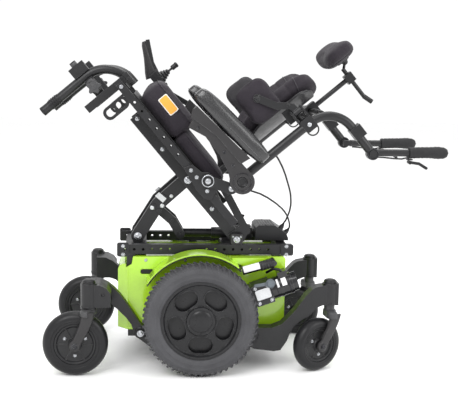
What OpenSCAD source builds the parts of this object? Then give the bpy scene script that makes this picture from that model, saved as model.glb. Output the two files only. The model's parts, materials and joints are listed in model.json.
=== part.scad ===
// Power wheelchair with a mid-wheel drive base and a tilting seat, shown tilted back.
// The chair faces -X, its left side is -Y, and Z is up. Units are millimetres.

/* [Drive base] */
// Outer diameter of the drive tyres
drive_d = 318; // [300:1:330]
// Width of the drive tyres
drive_w = 58; // [50:1:60]
// Overall width over the drive tyres
overall_w = 520; // [510:1:560]
// Diameter of the front caster wheels
front_caster_d = 178; // [160:1:178]
// Diameter of the rear caster wheels
rear_caster_d = 150; // [130:1:150]
// Distance of the front caster stems ahead of the drive axle
front_stem_x = 303; // [303:1:320]
// Distance of the rear caster stems behind the drive axle
rear_stem_x = 367; // [367:1:380]
// Angle at which the left rear caster stands swivelled
left_rear_swivel = 27; // [0:1:30]

/* [Tilting seat] */
// Angle of the seat to the floor
seat_tilt = 50; // [30:1:50]
// Length of the lifting arms between their pivots
arm_l = 218; // [210:1:222]
// Length of the short strut that drives the arms
strut_l = 95; // [90:1:97]
// Height of the arm and slider pivots over the floor
pivot_z = 358; // [357:1:360]

/* [Seat] */
// Width of the seat cushion
cushion_w = 370; // [340:2:376]
// Depth of the seat cushion
cushion_d = 326; // [300:2:332]
// Height of the back canes over the seat rails
cane_h = 323; // [300:1:330]
// Length of the handle bars behind their joints
handle_l = 112; // [100:1:130]

/* [Hidden] */
$fn = 48;
fit = 0.3;
// The origin stands this far behind the drive axle, in the middle of the chair's length
origin_x = 124.5;
axle_z = drive_d / 2;
tyre_y = overall_w / 2 - drive_w / 2;
arm_x = -174;
// The lifting arms and the seat beams make an isosceles triangle on the rails
slider_x = arm_x + 2 * arm_l * cos(seat_tilt);
knee_x = arm_x + 2 * strut_l * cos(seat_tilt);
elbow = [107, 15.4];

// Base rails, beams, arms and strut lie beside each other, from the outside in
rail_y = 105;
rail_w = 20;
rail_top = 344;
rail_bottom = 316;
beam_y0 = 66;
beam_y1 = 90;
link_y0 = 42;
link_y1 = 58;
strut_y0 = 22;
strut_y1 = 34;

// Suspension arms turn about these points
front_pivot = [-164, 102];
rear_pivot = [140, 100];
front_stem_y = 210;
rear_stem_y = 170;
front_trail = 37;
rear_trail = 42;
stem_r = 8;
side_y = 128;
motor_slope = 19;
motor_y = 166;

// Seat frame: origin at the slider pivot, x to the rear, z square to the seat
seat_rail_y0 = 184;
seat_rail_y1 = 206;
cane_x = -139;
cane_y = 190;
cane_r = 12.5;
cane_bend_r = 80;
recline_pivot = [-196, 46];
arm_pivot = [-139, 116];
post_x = -545;
post_y = 170;
hanger_y = 140;
handle_joint = [36, 38 + cane_h + cane_bend_r];
rest_z = 549;
back_r = 260;
back_cx = -165 - back_r;

frame_black = [0.07, 0.07, 0.08];
plastic_grey = [0.25, 0.25, 0.26];
cloth = [0.19, 0.17, 0.21];

// ---- Places ----

// Moves a shape from the drive axle's line to the model's origin
module on_base() translate([-origin_x, 0, 0]) children();

// Moves a shape from the seat frame into the tilted seat
module on_seat() on_base() translate([slider_x, 0, pivot_z]) rotate([0, seat_tilt, 0]) children();

// Shapes are drawn for the left side; side 1 gives the right-hand one
module handed(side) {
    if (side > 0) mirror([0, 1, 0]) children();
    else children();
}

// Both hands of a shape
module both() {
    children();
    mirror([0, 1, 0]) children();
}

// ---- Shared shapes ----

// Extrudes an X-Z outline from y0 to y1
module slab(y0, y1) translate([0, y1, 0]) rotate([90, 0, 0]) linear_extrude(y1 - y0) children();

// Round bar along Y
module y_rod(at, r, y0, y1) slab(y0, y1) translate(at) circle(r = r);

// Round bar between two points
module rod(p, q, r) {
    d = q - p;
    translate(p)
        rotate([0, acos(d.z / norm(d)), atan2(d.y, d.x)])
            cylinder(h = norm(d), r = r);
}

// Straight stretch of a flat link, a hair narrower than its round ends
module link_side(p, q, w)
    translate(p) rotate(atan2(q.y - p.y, q.x - p.x)) translate([0, 0.15 - w / 2])
        square([norm(q - p), w - 0.3]);

// Flat link with round ends, straight or with corners
module path2d(points, w) {
    for (i = [0:len(points) - 2]) link_side(points[i], points[i + 1], w);
    for (p = points) translate(p) circle(d = w);
}

module link2d(p, q, w) path2d([p, q], w);

// Bent stretch of round bar in an X-Z plane, from angle a0 to a1 about its centre
module bend(centre, bend_r, r, a0, a1)
    translate(centre) rotate([90, 0, 0]) rotate([0, 0, a0])
        rotate_extrude(angle = a1 - a0) translate([bend_r, 0]) circle(r = r);

// Rectangle with round corners
module round_rect(x0, x1, z0, z1, r) {
    translate([x0 + r, z0]) square([x1 - x0 - 2 * r, z1 - z0]);
    translate([x0, z0 + r]) square([x1 - x0, z1 - z0 - 2 * r]);
    for (x = [x0 + r, x1 - r], z = [z0 + r, z1 - r]) translate([x, z]) circle(r = r);
}

// Row of holes along X in a part that lies along Y
module hole_row(x0, pitch, count, z, r, y0, y1)
    for (i = [0:count - 1]) y_rod([x0 + i * pitch, z], r, y0, y1);

// ---- Drive base ----

module base_frame() on_base() color(frame_black) {
    // Battery tray with its side plates, which the axles and pivots are bolted to
    difference() {
        translate([-200, -118, 80]) cube([436, 236, 227]);
        translate([-194, -112, 86]) cube([424, 224, 240]);
        translate([-230, -130, 150]) cube([480, 260, 60]);
        for (x = [-202, 40]) translate([x, -130, 222]) cube([x < 0 ? 162 : 150, 260, 100]);
        translate([-230, -90, 120]) cube([480, 180, 200]);
    }
    // Posts under the rails
    both() for (x = [-203, -20, 208]) translate([x, -115, 212]) cube([22, 20, rail_bottom - 212]);
    both() translate([-110, -118, 146]) cube([220, 6, 70]);
    both() {
        // Wheel mounts and the suspension arms' pivots with their bolt heads
        y_rod([0, axle_z], 40, -134, -112);
        y_rod(front_pivot, 10, -166, -112);
        slab(-172, -166) translate(front_pivot) circle(r = 11, $fn = 6);
        y_rod(rear_pivot, 10, -196, -112);
        slab(-200, -196) translate(rear_pivot) circle(r = 12);
        // Black liner between the tyre and the wheel arch
        difference() {
            y_rod([0, axle_z], 169.5, -196, -128.5);
            y_rod([0, axle_z], 166.5, -200, -120);
            wheel_arch_gap(168, 48, 150);
        }
    }
}

// Everything about the drive axle outside the angles a0 to a1
module wheel_arch_gap(r, a0, a1)
    slab(-210, -120) translate([0, axle_z])
        polygon([[0, 0], 2 * r * [cos(a1), sin(a1)], 2 * r * [-1, -0.2], 2 * r * [-1, -2],
                 2 * r * [1, -2], 2 * r * [1, 0], 2 * r * [cos(a0), sin(a0)]]);

module base_rails() on_base() color(frame_black) {
    both() difference() {
        union() {
            translate([-225, -rail_y - rail_w / 2, rail_bottom]) cube([489, rail_w, rail_top - rail_bottom]);
            // Rounded end plates
            slab(-119, -115) round_rect(-231, -198, 310, 350, 6);
            slab(-119, -115) round_rect(232, 268, 313, 346, 6);
        }
        hole_row(-208, 25, 6, 330, 4, -130, -90);
        hole_row(21, 25, 8, 330, 4, -130, -90);
        translate([-230, -rail_y - rail_w / 2 + 4, rail_bottom + 4])
            cube([500, 12, rail_top - rail_bottom - 8]);
    }
    // Crossbars between the rails
    for (x = [-208, 66]) translate([x, -95, 318]) cube([58, 190, 20]);
    translate([226, -95, 318]) cube([28, 190, 20]);
    // Lugs that carry the lifting arms
    both() difference() {
        union() {
            y_rod([arm_x, pivot_z], 15, -38, -24);
            translate([arm_x - 14, -38, 336]) cube([28, 14, 22]);
        }
        y_rod([arm_x, pivot_z], 10 + fit, -50, 0);
    }
}

module shroud_profile() {
    polygon([[-229, 102], [-229, 266], [-190, 290], [-186, 312], [240, 312], [245, 306], [245, 112],
             [232, 102]]);
    translate([-205, 266]) intersection() {
        circle(r = 24);
        translate([-24, 0]) square([24, 24]);
    }
}

module shroud_plan(inset)
    polygon([for (p = [[-229, -98], [-200, -128], [245, -128], [245, 128], [-200, 128], [-229, 98]])
             [p.x - sign(p.x) * inset, p.y - sign(p.y) * inset]]);

module shroud() on_base() color([0.62, 0.82, 0.2]) {
    difference() {
        intersection() {
            slab(-128, 128) shroud_profile();
            translate([0, 0, 90]) linear_extrude(230) shroud_plan(0);
        }
        intersection() {
            slab(-124, 124)
                polygon([[-225, 90], [-225, 262], [-188, 286], [-182, 308], [241, 308], [241, 90]]);
            translate([0, 0, 80]) linear_extrude(240) shroud_plan(4);
        }
        both() {
            // Openings for the rail posts, the wheel mounts and the arm pivots
            for (x = [-22, 206]) translate([x, -117, 300]) cube([26, 24, 20]);
            translate([-205, -117, 266]) cube([26, 24, 60]);
            y_rod([0, axle_z], 46, -140, -120);
            y_rod(front_pivot, 18, -140, -110);
            y_rod(rear_pivot, 18, -140, -120);
            // Finger recess of the front corner
            slab(-140, -122) round_rect(-165, -128, 262, 276, 6);
        }
        // Rear vent
        translate([236, -60, 150]) cube([20, 120, 70]);
    }
    both() {
        difference() {
            y_rod([0, axle_z], 174, -198, -127);
            y_rod([0, axle_z], 170, -200, -120);
            wheel_arch_gap(174, 52, 148);
        }
        slab(-146, -127) polygon([[96, 300], [125, 288], [160, 292], [190, 308], [190, 312], [90, 312]]);
    }
}

module batteries() on_base() color([0.16, 0.16, 0.17])
    for (x = [-192, 14]) {
        translate([x, -84, 86]) cube([200, 168, 160]);
        translate([x + 6, -78, 246]) cube([188, 156, 10]);
        for (y = [-60, 60]) translate([x + 24, y, 256]) cylinder(h = 8, r = 8);
    }

// Places a shape drawn along +X on the motor's sloping axis
module on_motor() on_base() both() translate([0, -motor_y, axle_z]) rotate([0, -motor_slope, 0]) children();

module drive_motors() on_motor() color([0.1, 0.1, 0.11]) {
    rotate([0, 90, 0]) {
        translate([0, 0, 212]) cylinder(h = 62, r = 30);
        translate([0, 0, 236]) cylinder(h = 8, r = 31.5);
        translate([0, 0, 274]) cylinder(h = 14, r = 27);
    }
    // Connector box
    translate([240, -18, 24]) cube([26, 36, 18]);
}

module gearboxes() {
    on_motor() color([0.72, 0.72, 0.73]) {
        translate([38, -28, -27]) cube([122, 56, 54]);
        translate([160, -30, -30]) cube([52, 60, 60]);
    }
    on_base() both() color([0.3, 0.3, 0.31]) difference() {
        y_rod([0, axle_z], 47, -198, -134);
        y_rod([0, axle_z], 12.4, -199, -150);
    }
}

module power_module() on_base() color([0.12, 0.12, 0.13]) {
    slab(-55, 55) polygon([[166, rail_top + 1], [166, 382], [174, 389], [222, 389], [256, 366],
                           [262, 352], [262, rail_top + 1]]);
    translate([228, -40, 338]) cube([24, 80, 8]);
    // Cable sockets on the sloping top and at the rear edge
    translate([233, -44, 368.7]) rotate([0, 34, 0]) cylinder(h = 18.4, r = 7);
    translate([248, -36, 356]) rotate([0, 40, 0]) cylinder(h = 16, r = 7);
}

module tilt_actuator() on_base() color([0.09, 0.09, 0.1]) {
    difference() {
        rod([40, 0, pivot_z], [152, 0, pivot_z], 16);
        rod([39, 0, pivot_z], [136, 0, pivot_z], 12.4);
    }
    rod([74, 37, pivot_z], [144, 37, pivot_z], 17.5);
    translate([138, -17, 341]) cube([22, 71, 34]);
    translate([72, -14, 338]) cube([40, 28, 6]);
}

module suspension_dampers() on_base() both() color([0.85, 0.85, 0.86]) {
    rod([118, -165, 279], [206, -165, 303], 12);
    y_rod([206, 303], 8, -176, -128);
    y_rod([124, 281], 6, -176, -146);
}

module drive_tyre(side) on_base() handed(side) color([0.3, 0.3, 0.31])
    translate([0, -tyre_y, axle_z]) rotate([90, 0, 0]) rotate_extrude($fn = 96) difference() {
        translate([drive_d / 2 - drive_w / 2, 0]) circle(r = drive_w / 2);
        translate([0, -drive_w]) square([109, 2 * drive_w]);
    }

module drive_rim(side) on_base() handed(side) color([0.12, 0.12, 0.13])
    translate([0, -tyre_y, axle_z]) rotate([90, 0, 0]) {
        difference() {
            rotate_extrude($fn = 96)
                polygon([[0, -26], [30, -26], [30, 8], [96, 8], [100, -22], [109, -22], [109, 22],
                         [102, 22], [97, 15], [40, 17], [38, 23], [0, 23]]);
            for (i = [0:4]) rotate(i * 72 - 90) translate([0, 0, -5])
                linear_extrude(40) link2d([68, -11], [68, 11], 46);
        }
        // Axle stub that sits in the gearbox
        translate([0, 0, -70]) cylinder(h = 46, r = 12);
    }

module freewheel_lever(side) on_base() handed(side) color([0.35, 0.42, 0.47]) {
    y_rod([193, 253], 12, -212, -199);
    slab(-206, -201) link2d([193, 253], [152, 246], 9);
}

// ---- Casters ----

module front_arm(side) on_base() handed(side) color(frame_black) difference() {
    union() {
        slab(-226, -134) polygon([[-303, 190], [-303, 254], [-274, 253], [-254, 243], [-244, 230],
                                  [-244, 192]]);
        slab(-160, -134) polygon([[-290, 190], [-290, 254], [-274, 253], [-254, 243], [-236, 228],
                                  [-218, 208], [-202, 185], [-184, 158], [-166, 130], [-150, 106],
                                  [-164, 84], [-182, 100], [-189, 124], [-203, 144], [-225, 166],
                                  [-245, 184], [-262, 190]]);
        slab(-160, -134) link2d(front_pivot, [-114, 64], 34);
        translate([-front_stem_x, -front_stem_y, 186]) cylinder(h = 70, r = 22);
        translate([-front_stem_x, -front_stem_y, 256]) cylinder(h = 5, r = 18);
    }
    y_rod(front_pivot, 10 + fit, -240, -120);
    translate([-front_stem_x, -front_stem_y, 180]) cylinder(h = 66, r = stem_r + fit);
}

module rear_arm(side) on_base() handed(side) color(frame_black) difference() {
    union() {
        slab(-189, -151) {
            polygon([[389, 186], [389, 248], [343, 241], [326, 238], [314, 231], [296, 212],
                     [267, 171], [230, 132], [204, 122], [165, 122], [140, 126], [140, 68], [155, 61],
                     [209, 54], [228, 57], [246, 84], [254, 106], [264, 124], [282, 141], [306, 154],
                     [330, 180], [345, 186]]);
            translate(rear_pivot) circle(r = 28);
        }
        translate([rear_stem_x, -rear_stem_y, 186]) cylinder(h = 60, r = 22);
        translate([rear_stem_x, -rear_stem_y, 244]) cylinder(h = 9, r = 18);
    }
    y_rod(rear_pivot, 10 + fit, -240, -120);
    translate([rear_stem_x, -rear_stem_y, 180]) cylinder(h = 58, r = stem_r + fit);
}

// Single-sided fork about its own stem, with the wheel trailing towards -X
module fork(wheel_r, wheel_w, trail, crown_z, housing_z) {
    out = wheel_w / 2 + 5;
    translate([0, 0, crown_z]) cylinder(h = housing_z + 48 - crown_z, r = stem_r);
    translate([0, 0, crown_z]) cylinder(h = housing_z - 1 - crown_z, r = 16);
    translate([-15, -out - 8, crown_z]) cube([30, out + 8, housing_z - 9 > crown_z ? 14 : 7]);
    slab(-out - 8, -out) link2d([0, crown_z - 9], [-trail, wheel_r], 30);
    y_rod([-trail, wheel_r], 6, -out, wheel_w / 2 - 6);
}

// Hub disc and moulded tyre of a caster
module caster(wheel_r, wheel_w, trail) translate([-trail, 0, wheel_r]) rotate([90, 0, 0]) {
    half = wheel_w / 2;
    difference() {
        rotate_extrude($fn = 72)
            polygon([[6.3, -half + 6], [20, -half + 6], [22, -half + 10], [wheel_r * 0.6, -half + 10],
                     [wheel_r * 0.6, half - 8], [24, half - 8], [22, half - 3], [6.3, half - 3]]);
        for (i = [0:2]) rotate(i * 120) translate([wheel_r * 0.36, 0, -half]) cylinder(h = 12, r = 3);
    }
    rotate_extrude($fn = 72) intersection() {
        union() {
            translate([wheel_r - half + 4, 0]) circle(r = half - 4);
            translate([wheel_r * 0.6, -half]) square([wheel_r * 0.4 - half + 10, 2 * half]);
            translate([wheel_r - half, -half + 5]) square([half, 2 * half - 10]);
        }
        translate([wheel_r * 0.6, -half]) square([wheel_r * 0.4, 2 * half]);
    }
}

module front_stem(side) on_base() handed(side) translate([-front_stem_x, -front_stem_y, 0]) children();

module rear_stem(side) on_base() handed(side) translate([rear_stem_x, -rear_stem_y, 0])
    rotate(side < 0 ? left_rear_swivel : 0) children();

module front_fork(side) front_stem(side) color(plastic_grey)
    fork(front_caster_d / 2, 45, front_trail, 178, 186);

module rear_fork(side) rear_stem(side) color(plastic_grey) fork(rear_caster_d / 2, 40, rear_trail, 158, 186);

module front_caster(side) front_stem(side) color([0.13, 0.13, 0.13])
    caster(front_caster_d / 2, 45, front_trail);

module rear_caster(side) rear_stem(side) color([0.13, 0.13, 0.13]) caster(rear_caster_d / 2, 40, rear_trail);

// ---- Tilting linkage ----

// Places an X-Z outline drawn along its own +X from a pivot, turned up by an angle
module linked(at, angle) on_base() translate([at.x, 0, at.y]) rotate([0, -angle, 0]) children();

module lifting_arms() linked([arm_x, pivot_z], seat_tilt) color(frame_black) {
    both() difference() {
        slab(-link_y1, -link_y0) path2d([[0, 0], elbow, [arm_l, 0]], 38);
        y_rod([strut_l, 0], 7 + fit, -link_y1 - 1, -link_y0 + 1);
    }
    y_rod([0, 0], 10, -link_y1 - 4, link_y1 + 4);
    y_rod([46, 6], 9, -link_y0, link_y0);
    both() {
        y_rod([arm_l, 0], 10, -beam_y1 - 4, -link_y0);
        // Bolt heads and the small bracket on the upper edge
        slab(-link_y1 - 5, -link_y1) translate(elbow - [12, -6]) circle(r = 7, $fn = 6);
        slab(-link_y1 - 4, -link_y1) translate([124, 6]) square([16, 22]);
    }
}

module tilt_strut()
    linked([arm_x + strut_l * cos(seat_tilt), pivot_z + strut_l * sin(seat_tilt)], -seat_tilt)
    color(frame_black) {
        both() difference() {
            slab(-strut_y1, -strut_y0) path2d([[0, 0], [50, 8], [strut_l, 0]], 26);
            y_rod([strut_l, 0], 7 + fit, -strut_y1 - 1, -strut_y0 + 1);
        }
        y_rod([0, 0], 7, -link_y1 - 3, link_y1 + 3);
        both() slab(-strut_y1 - 4, -strut_y1) translate([50, 8]) circle(r = 6, $fn = 6);
    }

module actuator_rod() on_base() color([0.1, 0.1, 0.11]) {
    y_rod([knee_x, pivot_z], 14, -20, 20);
    y_rod([knee_x, pivot_z], 7, -strut_y1 - 4, strut_y1 + 4);
    rod([knee_x, 0, pivot_z], [knee_x + 114, 0, pivot_z], 12);
}

module slider(side) on_base() handed(side) color(plastic_grey) {
    slab(-114, -96) round_rect(slider_x - 17, slider_x + 17, rail_top + 0.3, pivot_z + 15, 5);
    y_rod([slider_x, pivot_z], 9, -98, -64);
}

// ---- Seat ----

module seat_beams() on_seat() color(frame_black) both() {
    difference() {
        union() {
            slab(-beam_y1, -beam_y0) translate([-450, -17]) square([450, 34]);
            y_rod([0, 0], 17, -beam_y1, -beam_y0);
            // Flat stay from the seat's rear down to the beam's end, and its corner plate
            slab(-94.5, -91) link2d([-138, 64], [2, 36], 22);
            slab(-94.5, -beam_y1) polygon([[-22, -12], [-22, 44], [-2, 56], [20, 14], [12, -12]]);
        }
        y_rod([-arm_l, 0], 10 + fit, -100, -60);
        y_rod([0, 0], 9 + fit, -100, -60);
    }
    // Saddles under the seat's cross tubes
    for (x = [-448, -120]) difference() {
        translate([x < -440 ? -450 : x - 10, -beam_y1, 16])
            cube([x < -440 ? 14 : 20, beam_y1 - beam_y0, 10]);
        y_rod([x, 29.5], 8.05, -beam_y1 - 1, 1 - beam_y0);
    }
}

module seat_rails() on_seat() color(frame_black) {
    both() {
        difference() {
            translate([-545, -seat_rail_y1, 17]) cube([490, seat_rail_y1 - seat_rail_y0, 21]);
            hole_row(-481, 30, 7, 28, 3.5, -220, -170);
            translate([-550, -seat_rail_y1 + 3, 20]) cube([500, seat_rail_y1 - seat_rail_y0 - 6, 15]);
        }
        // Plate with bolts that carries the back
        difference() {
            slab(-211, -206) polygon([[-264, 18], [-256, 42], [-224, 48], [-212, 62], [-186, 64],
                                      [-160, 50], [-150, 20], [-164, 8], [-196, 6]]);
            y_rod(recline_pivot, 7 + fit, -230, -200);
        }
        for (p = [[-247, 29], [-223, 29], [-176, 27]]) slab(-215, -211) translate(p) circle(r = 6);
        // Front post that carries the hanger, with the plate that joins it to the rail
        difference() {
            translate([post_x - 11, -post_y - 11, -84]) cube([22, 22, 132]);
            translate([post_x, -post_y, 20]) cylinder(h = 40, r = 6 + fit);
        }
        translate([post_x - 10, 1 - seat_rail_y1, 18]) cube([20, 28, 19]);
        // Tie-down loop under the rail
        difference() {
            slab(-200, -192) round_rect(-518, -482, -58, 18.5, 16);
            slab(-201, -191) round_rect(-510, -490, -50, -24, 9);
            slab(-201, -191) round_rect(-510, -490, -16, 10, 8);
        }
    }
    // Cross tubes over the beams
    for (x = [-448, -120]) y_rod([x, 29.5], 8, -seat_rail_y0 - 1.5, seat_rail_y0 + 1.5);
}

module seat_pan() on_seat() color(frame_black)
    translate([-500, -182, 38.3]) cube([350, 364, 3.7]);

module seat_cushion() on_seat() color(cloth)
    intersection() {
        slab(-cushion_w / 2, cushion_w / 2)
            polygon([[-160 - cushion_d, 43], [-160 - cushion_d - 4, 60], [-160 - cushion_d, 92], [-470, 110],
                     [-450, 117], [-346, 117], [-333, 100], [-322, 92], [-160, 90], [-160, 43]]);
        translate([-330, 0, 0]) linear_extrude(150) round_rect(-165, 171, -cushion_w / 2, cushion_w / 2, 24);
    }

// ---- Back ----

module cane_path() {
    top = 38 + cane_h;
    rod([cane_x, -cane_y, 62], [cane_x, -cane_y, top], cane_r);
    bend([cane_x + cane_bend_r, -cane_y, top], cane_bend_r, cane_r, 90, 180);
    rod([cane_x + cane_bend_r, -cane_y, handle_joint.y],
        [handle_joint.x - 14, -cane_y, handle_joint.y], cane_r);
}

module back_canes() on_seat() color(frame_black) {
    both() {
        cane_path();
        // Foot plate with the ringed recline pivot
        slab(-217, -212) {
            link2d(recline_pivot, [cane_x, 82], 30);
            translate(recline_pivot) circle(r = 19);
        }
        y_rod(recline_pivot, 7, -222, -200);
        y_rod([cane_x, 82], 8, -217, -cane_y);
        // Clamp with its bolt, and the clamp block by the handle's joint
        slab(-204, -176) round_rect(cane_x - 20, cane_x + 18, 336, 372, 6);
        y_rod([cane_x, 354], 6, -207.5, -204);
        translate([-54, -207, 428]) cube([34, 34, 34]);
        // Ring that the handle turns in
        difference() {
            y_rod(handle_joint, 17, -201, -179);
            y_rod(handle_joint, 10 + fit, -210, -170);
        }
        // Armrest pin
        y_rod(arm_pivot, 9, -240, -cane_y);
        // Brackets between the canes and the shell
        translate([-204, -150.3, 318]) cube([42, 4, 44]);
        rod([cane_x, -cane_y, 350], [-168, -146, 350], 8);
        // Hinge lugs and pin of the lateral support
        for (z = [333, 365]) translate([-194, -194, z]) cube([44, 18, 5]);
        translate([-184, -184, 333]) cylinder(h = 37, r = 5);
        hook([-118, -176, 372]);
        // Cable clips
        for (z = [101, 228]) translate([cane_x, -cane_y, z]) cube([13, 22, 10]);
    }
    // Cross tube with the headrest's socket
    difference() {
        union() {
            y_rod([cane_x, 400], 8, -cane_y, cane_y);
            translate([cane_x - 15, -16, 376]) cube([30, 32, 48]);
        }
        translate([cane_x, 0, 370]) cylinder(h = 60, r = 7 + fit);
    }
}

// Wire hook for a bag strap, lying open to the rear
module hook(at) translate(at) {
    rod([-22, 0, 0], [0, 0, 0], 2);
    bend([0, 0, -16], 16, 2, -90, 90);
    rod([0, 0, -32], [-20, 0, -32], 2);
}

module back_shell() on_seat() color([0.15, 0.14, 0.16]) intersection() {
    translate([back_cx, 0, 205]) difference() {
        cylinder(h = 222, r = back_r, $fn = 128);
        translate([0, 0, -1]) cylinder(h = 230, r = back_r - 5, $fn = 128);
    }
    slab(-150, 150) round_rect(-230, -150, 205, 427, 20);
    rotate([90, 0, 90]) translate([0, 0, -260]) linear_extrude(120) round_rect(-150, 150, 205, 427, 50);
}

module back_cushion() on_seat() color(cloth) intersection() {
    translate([back_cx, 0, 200]) cylinder(h = 262, r = back_r - 6, $fn = 128);
    translate([-240, -142, 200]) cube([80, 284, 262]);
    rotate([90, 0, 90]) translate([0, 0, -260]) linear_extrude(120) round_rect(-142, 142, 200, 462, 50);
}

// ---- Armrests and joystick ----

module arm_link(side) on_seat() handed(side) color(plastic_grey) difference() {
    union() {
        slab(-246, -222) {
            polygon([[-354, 124], [-335, 130], [-280, 142], [-224, 145], [-168, 147], [-139, 149],
                     [-139, 84], [-160, 93], [-181, 103], [-232, 114], [-296, 116], [-342, 97]]);
            translate(arm_pivot) circle(r = 33);
        }
        arm_bearer();
    }
    y_rod(arm_pivot, 9 + fit, -260, -200);
    slab(-250, -241) translate(arm_pivot) circle(r = 15);
}

// Bearer under the pad
module arm_bearer()
    slab(-250, -220) polygon([[-372, 138], [-360, 118], [-330, 128], [-280, 140], [-180, 144],
                              [-176, 172], [-372, 150]]);

module arm_pad(side) on_seat() handed(side) color([0.1, 0.1, 0.1])
    slab(-260, -208) polygon([[-402, 152], [-408, 172], [-402, 192], [-386, 202], [-162, 226],
                              [-146, 214], [-148, 180], [-160, 174], [-372, 151]]);

module joystick_box() on_seat() handed(1) color([0.09, 0.09, 0.1]) {
    translate([-508, -258, 96]) cube([78, 56, 28]);
    difference() {
        slab(-238, -226) path2d([[-440, 108], [-372, 134]], 16);
        arm_bearer();
    }
    // Ribbed boot
    for (i = [0:2]) translate([-482, -230, 124 + i * 9]) cylinder(h = 7, r1 = 19 - 4 * i, r2 = 16 - 4 * i);
    translate([-482, -230, 124]) cylinder(h = 25, r = 7);
    // Display arm that reaches forward
    slab(-240, -218) polygon([[-500, 120], [-594, 170], [-600, 160], [-556, 126], [-508, 98]]);
}

module joystick_stick() on_seat() handed(1) color([0.07, 0.07, 0.07]) {
    translate([-482, -230, 151]) cylinder(h = 22, r = 3.5);
    translate([-482, -230, 168]) cylinder(h = 20, r = 8);
}

// ---- Hangers ----

module hanger(side) on_seat() handed(side) color(frame_black) {
    bend_r = 82;
    knee = -538;
    low_x = -616;
    y = -hanger_y;
    // Bent tube, upright in front and running back over the post
    rod([low_x, y, -183], [low_x, y, -30], cane_r);
    bend([low_x + bend_r, y, -30], bend_r, cane_r, 90, 180);
    rod([low_x + bend_r, y, bend_r - 30], [low_x + bend_r + 16, y, bend_r - 30], cane_r);
    // Hinge arm over the post
    translate([post_x - 12, -post_y - 12, 48.5]) cube([30, 40, 14]);
    translate([post_x, -post_y, 22]) cylinder(h = 30, r = 6);
    y_rod([knee, 55.5], 5, -post_y - 16, -post_y + 10);
    // Latch that bears on the post, with its knob
    translate([low_x, y - 9, -44]) cube([post_x - 11.5 - low_x, 18, 26]);
    rod([post_x - 22, -post_y + 6, -31], [post_x - 46, -post_y + 18, -31], 13);
    translate([low_x - 40, y - 13, -58]) cube([30, 26, 46]);
    rod([low_x - 52, y, -36], [low_x - 38, y, -36], 9);
}

// ---- Push handles ----

// Shapes in the handle's own frame: origin at its joint, x along the bar to the rear
module on_handle(side) on_seat() handed(side)
    translate([handle_joint.x, -cane_y, handle_joint.y]) rotate([0, -seat_tilt, 0]) children();

module push_handle(side) on_handle(side) color(frame_black) {
    y_rod([0, 0], 10, -14, 20);
    // The bar steps inwards to clear the ring
    translate([-8, 12, -8]) cube([26, 30, 16]);
    rod([14, 32, 0], [handle_l + 96, 32, 0], 10);
    // Lever bracket
    translate([handle_l - 6, 26, -20]) cube([5.8, 12, 14]);
    translate([handle_l - 6, 26, -20]) cube([16, 12, 3.6]);
}

module handle_grip(side) on_handle(side) color([0.17, 0.17, 0.17]) difference() {
    union() {
        rod([handle_l, 32, 0], [handle_l + 98, 32, 0], 16);
        translate([handle_l + 98, 32, 0]) sphere(r = 16);
    }
    rod([handle_l - 1, 32, 0], [handle_l + 97, 32, 0], 10 + 0.05);
}

module handle_lever(side) on_handle(side) color([0.08, 0.08, 0.08]) {
    slab(27, 37) path2d([[handle_l + 2, -26], [handle_l + 30, -30], [handle_l + 50, -42]], 8);
    y_rod([handle_l + 2, -26], 5, 24, 40);
}

// ---- Headrest ----

module headrest_post() on_seat() color([0.12, 0.12, 0.12]) difference() {
    union() {
        translate([cane_x, 0, 352]) cylinder(h = 190, r = 7);
        translate([cane_x - 14, -13, rest_z - 14]) cube([28, 26, 26]);
        y_rod([cane_x, rest_z], 8, 13, 34);
    }
    rod([cane_x - 30, 0, rest_z], [cane_x + 30, 0, rest_z], 6 + fit);
}

module headrest_arm() on_seat() color([0.1, 0.1, 0.1]) {
    rod([-172, 0, rest_z], [-66, 0, rest_z], 6);
    rod([-70, 0, rest_z], [-42, 0, rest_z + 9], 7);
    rod([-167, 0, rest_z - 1], [-182, 0, rest_z + 15], 4);
    translate([-184, 0, rest_z + 17]) sphere(r = 9);
}

module headrest_pad() on_seat() color(cloth) {
    translate([-194, 0, 556]) difference() {
        rotate([0, -90, 0]) linear_extrude(54) round_rect(-50, 50, -124, 124, 49);
        translate([10, 0, 10]) sphere(r = 9 + fit);
    }
    difference() {
        translate([-194, -18, 559]) cube([6, 36, 24]);
        translate([-184, 0, 566]) sphere(r = 9 + fit);
    }
}

// ---- Lateral supports ----

module lateral_pad(side) on_seat() handed(side) color(cloth) {
    slab(-176, -154) round_rect(-330, -212, 236, 340, 40);
    y_rod([-280, 290], 9, -182, -176);
    difference() {
        union() {
            slab(-188, -181) path2d([[-280, 290], [-232, 318], [-208, 349], [-192, 352]], 18);
            translate([-184, -184, 341]) cylinder(h = 22, r = 9.5);
        }
        translate([-184, -184, 330]) cylinder(h = 50, r = 5 + fit);
    }
}

// ---- Cables ----

// Routes of the two cables, from their clips on the left cane to the power module
lever_route = [[204, -172, 604], [211, -172, 594], [217, -171, 583], [223, -170, 572], [228, -169, 560],
               [233, -167, 548], [237, -164, 536], [241, -160, 525], [245, -155, 514], [249, -149, 502],
               [252, -142, 491], [254, -134, 480], [256, -126, 469], [257, -117, 458], [257, -108, 448],
               [257, -99, 439], [256, -89, 430], [255, -78, 421], [254, -67, 413], [253, -57, 405],
               [250, -48, 398], [247, -44, 390], [243.3, -44, 384.4]];
recline_route = [[107, -172, 522], [116, -173, 515], [127, -174, 510], [139, -174, 506], [151, -173, 502],
                 [163, -171, 498], [174, -168, 492], [185, -163, 486], [195, -157, 479], [205, -149, 472],
                 [214, -140, 465], [223, -130, 457], [232, -120, 449], [240, -109, 440], [247, -98, 431],
                 [253, -87, 421], [258, -76, 411], [262, -65, 401], [265, -54, 391], [266, -44, 382],
                 [263, -38, 374], [258.8, -36.3, 369]];

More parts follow.
